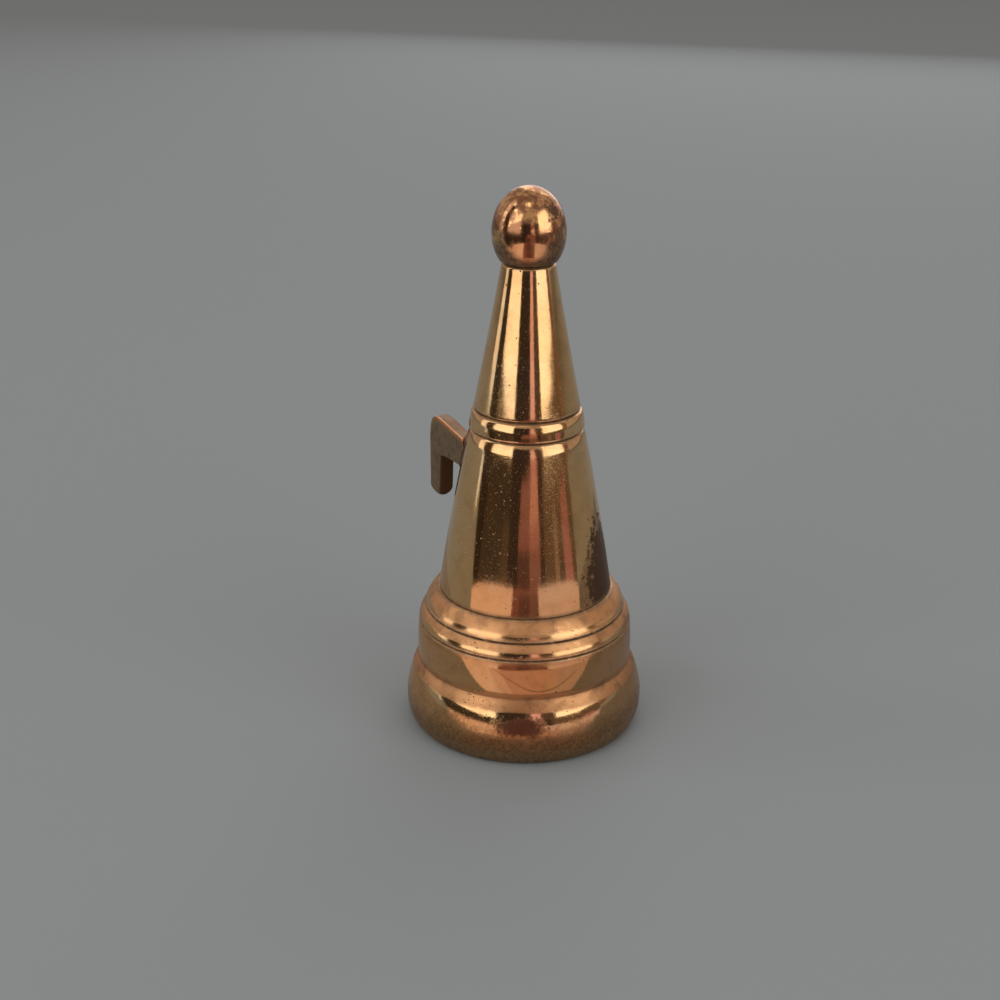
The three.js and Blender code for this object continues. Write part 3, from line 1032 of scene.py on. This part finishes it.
# The hanging hook: an inverted L, cut from plate and askew on the flank
hook = {
    "skew": 50,
    "rootX": -8.0,        # where the middle of the arm meets the flank
    "buriedX": -7.7,        # the arm's end, inside the braze
    "thickness": 2.0,
    "armTop": 38.05,
    "armBottom": 34.3,
    "armDrop": 0.4,
    "crest": 38.8,
    "reach": 7.65,
    "cornerStart": 5.95,
    "cornerEnd": 35.4,
    "legTopWidth": 3.0,
    "legTipWidth": 2.7,
    "tip": 27.95,
    "tipRounds": (0.8, 1.2),        # inner and outer corner
    "innerFillet": 0.3,
    "edge": 0.2,
    "arcPoints": 5,        # along each round corner of the plate's section
    "sidePoints": 7,        # along each side, between the corners
    "steps": (22, 30, 22, 18),        # along the arm's underside, its arch, the corner and the leg
    "rootReach": 1.6,        # how far the end is drawn to the flank
    "tipSteps": 8,
    "tipBluntness": 8.6,        # steps in a whole quarter turn, more than are made, so the tip ends blunt
    "tipThinning": 0.55,
    "tipRounding": 0.1,        # how much rounder the edges get with each step
    "unevenness": 0.035,
    "lumps": (0.8, 2.6),        # of the unevenness, per mm
    "fineLumps": 0.3,
    "armFade": (35.5, 1.2),        # the wear and dirt on top fade in from this height, over this
    "wearAndHighlight": (0.1, 0.3, 1.0),        # how bright the back edge, the top face and the front edge are: edge wear, with a painted reflection on the top face and a painted highlight along the front edge
    "topDirt": 0.55,
    "legShade": (36.0, 0.95),        # painted shade inside the leg, on the side that faces the cone, from this height down
}


def hookPlace(a, z, t):        # along the arm, up, and through the plate, in mm
    skew = math.radians(hook["skew"])
    x = hook["rootX"] - a * math.cos(skew) + t * math.sin(skew)
    y = a * math.sin(skew) + t * math.cos(skew)
    return Vector((x, y, z))


def plateSection(width, thickness, edge):        # a rectangle with round corners, from the inner side out
    half = thickness / 2
    edge = min(edge, 0.48 * width, 0.96 * half)        # leaves a little of each side straight
    corners = [(width - edge, half - edge, 0), (edge, half - edge, 90), (edge, edge - half, 180),
               (width - edge, edge - half, 270)]
    last, gaps = hook["arcPoints"] - 1, hook["sidePoints"] + 1
    loop = []
    for (w, t, first), (nextW, nextT, _) in zip(corners, corners[1:] + corners[:1]):
        for i in range(last + 1):
            angle = math.radians(first + 90 / last * i)
            loop.append((w + edge * math.cos(angle), t + edge * math.sin(angle)))
        start = loop[-1]
        stop = (nextW + edge * math.cos(angle), nextT + edge * math.sin(angle))
        for i in range(1, gaps):
            share = i / gaps
            loop.append((start[0] + (stop[0] - start[0]) * share, start[1] + (stop[1] - start[1]) * share))
    return loop


def hookSections():        # pairs of inner and outer points of the plate's outline, root to tip
    armSteps, archSteps, cornerSteps, legSteps = hook["steps"]
    crest, reach = hook["crest"], hook["reach"]
    legTop = reach - hook["legTopWidth"]
    legTip = reach - hook["legTipWidth"]
    under = hook["armBottom"]
    corner = (legTop, under - hook["armDrop"])
    fillet = hook["innerFillet"]
    filletStart = (legTop - fillet, corner[1] + fillet * hook["armDrop"] / legTop)
    filletEnd = (legTop, corner[1] - fillet)
    armUnder = quadratic((0, under), (legTop / 2, under), filletStart, armSteps)
    arch = quadratic((0, hook["armTop"]), (reach / 2, crest), (hook["cornerStart"], crest), archSteps)
    arch += quadratic(arch[-1], (reach, crest), (reach, hook["cornerEnd"]), cornerSteps)[1:]
    sections = list(zip(armUnder, arch))
    outer = arch[armSteps + 2:]
    inner = quadratic(filletStart, corner, filletEnd, len(outer))[1:]
    sections += list(zip(inner, outer))
    low = hook["tip"] + max(hook["tipRounds"])
    for i in range(1, legSteps + 1):
        t = i / legSteps
        innerPoint = (legTop + (legTip - legTop) * t, filletEnd[1] + (low - filletEnd[1]) * t)
        outerPoint = (reach, hook["cornerEnd"] + (low - hook["cornerEnd"]) * t)
        sections.append((innerPoint, outerPoint))
    return sections


def hookLoops():        # closed loops round the plate, from its root to its filed, rounded tip
    sections = hookSections()
    thickness, edge = hook["thickness"], hook["edge"]
    loops = []
    for (innerA, innerZ), (outerA, outerZ) in sections:
        width = math.dist((innerA, innerZ), (outerA, outerZ))
        way = ((outerA - innerA) / width, (outerZ - innerZ) / width)
        section = plateSection(width, thickness, edge)
        loops.append([(innerA + way[0] * w, innerZ + way[1] * w, t) for w, t in section])
    (innerA, innerZ), (outerA, _) = sections[-1]
    innerRound, outerRound = hook["tipRounds"]
    for i in range(1, hook["tipSteps"] + 1):
        angle = math.pi / 2 * i / hook["tipBluntness"]
        startA = innerA + innerRound * (1 - math.cos(angle))
        endA = outerA - outerRound * (1 - math.cos(angle))
        z = innerZ - (innerZ - hook["tip"]) * math.sin(angle)
        thin = thickness * math.cos(angle) ** hook["tipThinning"]
        section = plateSection(endA - startA, thin, edge + hook["tipRounding"] * i)
        loops.append([(startA + w, z, t) for w, t in section])
    return loops


def hookWear(i, z):        # how rubbed and how dark the plate is at a point of a loop: edge wear with a painted highlight and painted reflection, dirt on top, and painted shade on the side that faces the cone
    arc = hook["arcPoints"]
    side = arc + hook["sidePoints"]
    back, top, front = hook["wearAndHighlight"]
    start, over = hook["armFade"]
    onArm = max(0.0, min(1.0, (z - start) / over))
    if i < arc:        # the back edge
        return onArm * back, onArm * hook["topDirt"]
    if side <= i <= 2 * side + arc // 2:        # the side that faces the cone, darkened as painted shade
        height, strength = hook["legShade"]
        return 0.0, strength * max(0.0, min(1.0, height - z))
    if i >= 3 * side + arc:        # the top face, with a painted reflection where it is rubbed
        return onArm * top, onArm * hook["topDirt"]
    if i >= 3 * side:        # the front edge, rubbed bright as a painted highlight
        return onArm * front, 0.0
    return 0.0, 0.0


def makeHook():
    skew = math.radians(hook["skew"])
    coarse, fine = hook["lumps"]
    bm = bmesh.new()
    rings, wearAndHighlights, dirtAndShade = [], [], []
    for loop in hookLoops():
        ring = []
        for i, (a, z, t) in enumerate(loop):
            wearAndHighlight, darkening = hookWear(i, z)
            wearAndHighlights.append(wearAndHighlight)
            dirtAndShade.append(darkening)
            root = (hook["rootX"] - hook["buriedX"] + t * math.sin(skew)) / math.cos(skew)
            place = hookPlace(a + root * max(0.0, 1 - a / hook["rootReach"]), z, t)
            shift = Vector(noise.noise_vector(place * coarse))        # starts anew with each run
            shift += hook["fineLumps"] * Vector(noise.noise_vector(place * fine))
            ring.append(bm.verts.new((place + shift * hook["unevenness"]) * mm))
        rings.append(ring)
    bridge(bm, rings, (rings[0], rings[-1][::-1]))
    mesh = meshFrom(bm, "hangingHook")
    # edge wear, with the painted highlight and painted reflection on the hook's front edge and top
    storeFloats(mesh, "edgeWearAndHighlight", wearAndHighlights)
    # dirt on the top, and painted shade on the leg's side that faces the cone
    storeFloats(mesh, "crevice", dirtAndShade)
    finish(mesh, "hanging_hook", dullBrass)


makeHook()
print("hook made")


# The braze: a small uneven fillet round the arm's root
braze = {
    "rise": 0.32,        # how far it climbs the arm
    "spread": 0.18,        # how far it runs on the flank
    "roundness": 1.9,        # how much more it runs beside the plate than over and under it
    "unevenness": 0.06,
    "lumps": 1.7,        # per mm
    "lumpShift": 4.0,
}


def flankRadius(z):
    share = (z - footTop) / (cone["grooves"][0] - footTop)
    straight = cone["bottomRadius"] + (cone["skirtTopRadius"] - cone["bottomRadius"]) * share
    return straight + 4 * cone["skirtSwell"] * share * (1 - share)


def flankMeets(z, t, lift):        # how far along the arm a line through the plate leaves the flank
    skew = math.radians(hook["skew"])
    start = hookPlace(0, 0, t)
    way = Vector((-math.cos(skew), math.sin(skew), 0))
    along = start.dot(way)
    inside = along * along - start.length_squared + (flankRadius(z) + lift) ** 2
    return -along + math.sqrt(max(0.0, inside))


def makeBraze():
    width = hook["armTop"] - hook["armBottom"]
    section = plateSection(width, hook["thickness"], hook["edge"])
    rise, spread, lumps = braze["rise"], braze["spread"], braze["lumps"]
    steps = [        # out from the arm, up along it, and off the flank
        (-0.15, 0.9 * rise, 0),
        (0.0, rise, 0),
        (0.03, 0.62 * rise, 0),
        (0.09 + 0.1 * spread, 0.3 * rise, 0),
        (0.5 * spread, 0.12 * rise, 0.01),
        (spread, 0.0, 0.015),
        (1.1 * spread, -0.1, -0.15),
    ]
    bm = bmesh.new()
    rings = []
    for out, climb, lift in steps:
        ring = []
        for w, t in section:
            z = hook["armBottom"] + w
            away = Vector((w - width / 2, t * braze["roundness"])).normalized()
            run = noise.noise(Vector((z * lumps, t * lumps, braze["lumpShift"]))) * braze["unevenness"]
            shifted = out + (run if out > 0 else 0)
            zOut = z + away.x * shifted
            tOut = t + away.y * shifted
            a = flankMeets(zOut, tOut, lift) + climb + (2 * run if climb > 0 else 0)
            ring.append(bm.verts.new(hookPlace(a, zOut, tOut) * mm))
        rings.append(ring)
    bridge(bm, rings, (rings[0][::-1], rings[-1]))
    finish(meshFrom(bm, "hookBraze"), "hook_braze", copperBraze)


makeBraze()
print("braze made")


# Soft solder in the corner between the crown's underside and the end of the spigot
solder = {
    "width": 0.7,
    "hollow": 0.14,
    "soft": 0.05,
    "turns": 220,
    "unevenness": 0.0,
    "seams": (),
    "spacing": 0.1,
    "lumpHeights": (0.16, 0.064),        # coarse and fine
    "lumps": (0.55, 1.7),        # of each, per mm
    "plainEdge": 0.02,        # beside the spigot and the collar
    "wetEdge": 0.2,        # the lumps are whole from here out
}


def makeSolder():
    inner = foot["collarRadius"]
    top = foot["crownUnderside"]
    low = cone["spigotBottom"]
    face = bowed((inner + solder["width"], top), (inner, low), -solder["hollow"], solder["spacing"])
    profile = joined([[(inner, low), (inner, top)], [(inner, top), face[0]], face], solder["soft"])
    mesh = spun("footSolder", profile, solder)
    for vertex in mesh.vertices:
        place = vertex.co / mm
        radius = math.hypot(place.x, place.y)
        if radius > inner + solder["plainEdge"]:
            lump = 0
            for height, lumps in zip(solder["lumpHeights"], solder["lumps"]):
                lump += height * noise.noise(place * lumps)
            way = Vector((place.x / radius, place.y / radius, -1.0)).normalized()
            vertex.co += way * lump * mm * min(1.0, (radius - inner) / solder["wetEdge"])
    finish(mesh, "foot_solder", greySolder)


makeSolder()
print("solder made")


# Floor, soft light, and glowing cards that paint reflections and shade into the metal. Headings are degrees
# round from the front, counted to the right. Lengths are in m.
studio = {
    "floorColour": (0.285, 0.325, 0.34),
    "floorHalf": 2.5,
    "room": (0.42, 0.35, 0.32),
    "watts": 2.467,        # for a square metre of softbox, at a radiance of 1
    "highestAim": 0.4,        # a softbox looks at the axis, at its own height or at this one
    "lineSpan": 70,        # degrees from its middle to where a line on the floor has its whole bend
    "cardStep": 3,        # degrees
    "cardLift": 0.0003,
    "lineLift": 0.0005,        # a thin line lies over the other cards
}
softboxes = {        # heading, distance, height of the middle, width, height, radiance, colour
    "leftBox": (-37, 0.60, 0.378, 0.46, 0.65, 1.45, (1.0, 0.99, 0.98)),
    "rightBox": (62.6, 0.60, 0.360, 0.47, 0.61, 1.52, (1.0, 1.0, 0.97)),
    "farLeft": (-84, 0.60, 0.290, 0.14, 0.57, 1.05, (1.0, 1.0, 1.0)),
    "highLeft": (-82, 0.60, 0.640, 0.30, 0.40, 1.20, (1.0, 1.0, 0.95)),
    "behind": (176, 0.60, 0.470, 0.56, 0.84, 1.20, (1.0, 0.95, 0.92)),
    "overhead": (0, 0.30, 0.800, 0.22, 0.16, 1.30, (1.0, 0.95, 0.90)),
}
fill = {"height": 1.6, "size": 1.6, "radiance": 0.63}        # lights the floor and the dull parts from above
floorLines = {        # lines on the floor: distance in m, how much nearer at the sides, heading of the middle
    "edge": (0.184, 0.34, 12),
    "thin": (0.0283, -1.99, 25),
    "thinFar": (0.0293, -1.95, 25),
}
cards = {        # glowing cards that only the metal sees, painted reflections and, where dark, painted shade: headings of the near and far end, (distance, height) of both in m, and the colour
    "outerLine": ((-77, -73), (-77, -73), (0.24, 0), (0.585, 0), (0.85, 0.90, 1.05)),
    "outerEdge": ((-61, -54), (-73, -56), "edge", (0.585, 0), (0.035, 0.028, 0.024)),
    "outerLeft": ((-54, -24), (-56, -24), "edge", (0.585, 0), (0.060, 0.048, 0.040)),
    "outerBrown": ((-24, -14), (-24, -14), "edge", (0.585, 0), (0.085, 0.062, 0.046)),
    "outerDark": ((-14, 0), (-14, 0), "edge", (0.585, 0), (0.040, 0.030, 0.028)),
    "outerShade": ((0, 16), (0, 16), "edge", (0.34, 0), (0.095, 0.052, 0.050)),
    "outerWarm": ((0, 16), (0, 16), (0.34, 0), (0.585, 0), (0.25, 0.12, 0.125)),
    "outerWarmNear": ((16, 31), (16, 31), "edge", (0.34, 0), (0.23, 0.115, 0.11)),
    "outerWarmFar": ((16, 31), (16, 31), (0.34, 0), (0.585, 0), (0.35, 0.17, 0.18)),
    "outerGap": ((31, 37), (31, 37), "edge", (0.585, 0), (0.060, 0.040, 0.035)),
    "outerRight": ((37, 52), (37, 52), "edge", (0.585, 0), (0.12, 0.085, 0.070)),
    "outerTan": ((52, 58), (52, 58), "edge", (0.585, 0), (0.24, 0.17, 0.14)),
    "outerBetween": ((58, 66), (58, 66), "edge", (0.585, 0), (0.11, 0.080, 0.065)),
    "outerPink": ((66, 78), (66, 78), "edge", (0.585, 0), (0.34, 0.17, 0.19)),
    "outerEnd": ((78, 83), (78, 88), "edge", (0.585, 0), (0.12, 0.09, 0.07)),
    "lowLine": ((-80, -76), (-80, -76), (0.585, 0), (0.585, 0.055), (0.85, 0.90, 1.05)),
    "lowLeft": ((-76, -14), (-76, -14), (0.585, 0), (0.585, 0.055), (0.050, 0.042, 0.036)),
    "lowDark": ((-14, 1), (-14, 3), (0.585, 0), (0.585, 0.040), (0.040, 0.032, 0.030)),
    "lowOver": ((-14, 9), (-14, 18), (0.585, 0.040), (0.585, 0.055), (0.040, 0.032, 0.030)),
    "lowWarm": ((1, 16), (3, 18), (0.585, 0), (0.585, 0.040), (0.25, 0.12, 0.12)),
    "lowWarmTop": ((9, 18), (18, 19), (0.585, 0.040), (0.585, 0.055), (0.25, 0.12, 0.12)),
    "lowBright": ((16, 30), (19, 29), (0.585, 0), (0.585, 0.055), (0.48, 0.25, 0.23)),
    "lowGap": ((30, 37), (29, 37), (0.585, 0), (0.585, 0.055), (0.060, 0.040, 0.035)),
    "lowRight": ((37, 88), (37, 88), (0.585, 0), (0.585, 0.055), (0.14, 0.10, 0.08)),
    "innerNear": ((-30, 56), (-21, 50), (0.0175, 0), (0.0275, 0), (0.20, 0.14, 0.115)),
    "innerLeft": ((-21, -6), (-49, -22), (0.0275, 0), (0.050, 0), (0.70, 0.50, 0.44)),
    "innerSoft": ((-6, 2), (-22, -12), (0.0275, 0), (0.050, 0), (0.59, 0.38, 0.32)),
    "innerMiddle": ((2, 25), (-12, 32), (0.0275, 0), (0.050, 0), (0.47, 0.265, 0.21)),
    "innerTurn": ((25, 33), (32, 44), (0.0275, 0), (0.050, 0), (0.45, 0.29, 0.245)),
    "innerRight": ((33, 50), (44, 72), (0.0275, 0), (0.050, 0), (0.41, 0.295, 0.27)),
    "innerFarLeft": ((-49, -14), (-62, -5), (0.050, 0), "edge", (0.76, 0.55, 0.51)),
    "innerRed": ((-14, 3), (-5, 3), (0.050, 0), (0.168, 0), (0.20, 0.085, 0.078)),
    "innerDark": ((3, 16), (3, 16), (0.050, 0), (0.168, 0), (0.115, 0.058, 0.062)),
    "innerBrown": ((16, 32), (16, 27), (0.050, 0), (0.168, 0), (0.17, 0.09, 0.082)),
    "innerRing": ((-5, 27), (-5, 27), (0.168, 0), "edge", (0.24, 0.11, 0.095)),
    "innerFarRight": ((32, 72), (27, 84), (0.050, 0), "edge", (0.62, 0.475, 0.475)),
    "thinLine": ((-18, 58), (-18, 58), "thin", "thinFar", (0.24, 0.14, 0.11)),
    "wallLeft": ((-76, -58), (-76, -58), (0.585, 0.055), (0.585, 0.70), (0.060, 0.040, 0.032)),
    "wallDark": ((-15, 17), (-15, 17), (0.585, 0.055), (0.585, 0.30), (0.042, 0.034, 0.034)),
    "wallWarm": ((17, 27), (17, 25), (0.585, 0.055), (0.585, 0.28), (0.84, 0.53, 0.60)),
    "wallBrown": ((27, 40), (25, 40), (0.585, 0.055), (0.585, 0.28), (0.10, 0.07, 0.06)),
    "shadeLeftNear": ((-150, -30), (-150, -21), (0.0175, 0), (0.0275, 0), (0.20, 0.18, 0.165)),
    "shadeLeft": ((-150, -21), (-150, -49), (0.0275, 0), (0.050, 0), (0.20, 0.18, 0.165)),
    "shadeLeftFar": ((-150, -49), (-150, -55.5), (0.050, 0), (0.070, 0), (0.20, 0.18, 0.165)),
    "shadeRightNear": ((56, 150), (50, 150), (0.0175, 0), (0.0275, 0), (0.155, 0.143, 0.145)),
    "shadeRight": ((50, 150), (72, 150), (0.0275, 0), (0.050, 0), (0.155, 0.143, 0.145)),
    "shadeRightFar": ((72, 150), (84, 150), (0.050, 0), (0.118, 0), (0.155, 0.143, 0.145)),
    "wallRight": ((86, 96), (86, 96), (0.585, 0.0), (0.585, 0.70), (0.20, 0.13, 0.10)),
}


def headingWay(degrees):
    angle = math.radians(degrees)
    return Vector((math.sin(angle), -math.cos(angle), 0))


def onLine(line, heading):        # how far out a line on the floor is
    distance, bend, middle = floorLines[line]
    return distance * (1 - bend * ((heading - middle) / studio["lineSpan"]) ** 2)


def plainMesh(name, faces, material):        # faces as lists of corners, in m
    bm = bmesh.new()
    for corners in faces:
        bm.faces.new([bm.verts.new(corner) for corner in corners])
    bmesh.ops.remove_doubles(bm, verts=bm.verts, dist=hair)
    mesh = meshFrom(bm, name)
    mesh.materials.append(material)
    thing = bpy.data.objects.new(name, mesh)
    scene.collection.objects.link(thing)
    return thing


def makeFloor():
    half = studio["floorHalf"]
    material, _, shader = newMaterial("paleFloor")
    shader.inputs["Base Color"].default_value = (*studio["floorColour"], 1)
    shader.inputs["Roughness"].default_value = 1.0
    shader.inputs["Specular IOR Level"].default_value = 0.0
    corners = [(x * half, y * half, 0) for x, y in ((-1, -1), (1, -1), (1, 1), (-1, 1))]
    plainMesh("floor", [corners], material)


def addSoftbox(name, place, aim, width, height, radiance, colour):
    data = bpy.data.lights.new(name, "AREA")
    data.shape = "RECTANGLE"
    data.size = width
    data.size_y = height
    data.energy = studio["watts"] * width * height * radiance
    data.color = colour
    box = bpy.data.objects.new(name, data)
    turn = (aim - place).to_track_quat("-Z", "Y").to_matrix().to_4x4()
    box.matrix_world = Matrix.Translation(place) @ turn
    box.visible_camera = False
    scene.collection.objects.link(box)
    return box


def addCard(name, nearTurn, farTurn, near, far, colour):        # a glowing card that only the metal sees, a painted reflection
    material, _, shader = newMaterial(name + "PaintedReflection")
    shader.inputs["Base Color"].default_value = (0, 0, 0, 1)
    shader.inputs["Specular IOR Level"].default_value = 0
    shader.inputs["Emission Color"].default_value = (*colour, 1)
    shader.inputs["Emission Strength"].default_value = 1
    isLine = near in floorLines and far in floorLines
    lift = studio["lineLift"] if isLine else studio["cardLift"]
    count = max(2, round((farTurn[1] - farTurn[0]) / studio["cardStep"]))
    columns = []
    for i in range(count + 1):
        column = []
        for (first, last), end in ((nearTurn, near), (farTurn, far)):
            heading = first + (last - first) * i / count
            out, z = (onLine(end, heading), 0) if end in floorLines else end
            column.append(headingWay(heading) * out + Vector((0, 0, z + lift)))
        columns.append(column)
    card = plainMesh(name, [(a, c, d, b) for (a, b), (c, d) in zip(columns, columns[1:])], material)
    card.visible_camera = False
    card.visible_diffuse = False
    card.visible_shadow = False


makeFloor()
for name, (heading, distance, middle, width, height, radiance, colour) in softboxes.items():
    place = headingWay(heading) * distance + Vector((0, 0, middle))
    aim = Vector((0, 0, min(middle, studio["highestAim"])))
    addSoftbox(name, place, aim, width, height, radiance, colour)
above = Vector((0, 0, fill["height"]))
size, radiance = fill["size"], fill["radiance"]
overFloor = addSoftbox("fill", above, Vector((0, 0, 0)), size, size, radiance, (1.0, 1.0, 1.0))
overFloor.visible_glossy = False
for name, card in cards.items():
    addCard(name, *card)

world = bpy.data.worlds.new("softRoom")
scene.world = world
world.use_nodes = True
world.node_tree.nodes["Background"].inputs["Color"].default_value = (*studio["room"], 1)
print("floor and light set")
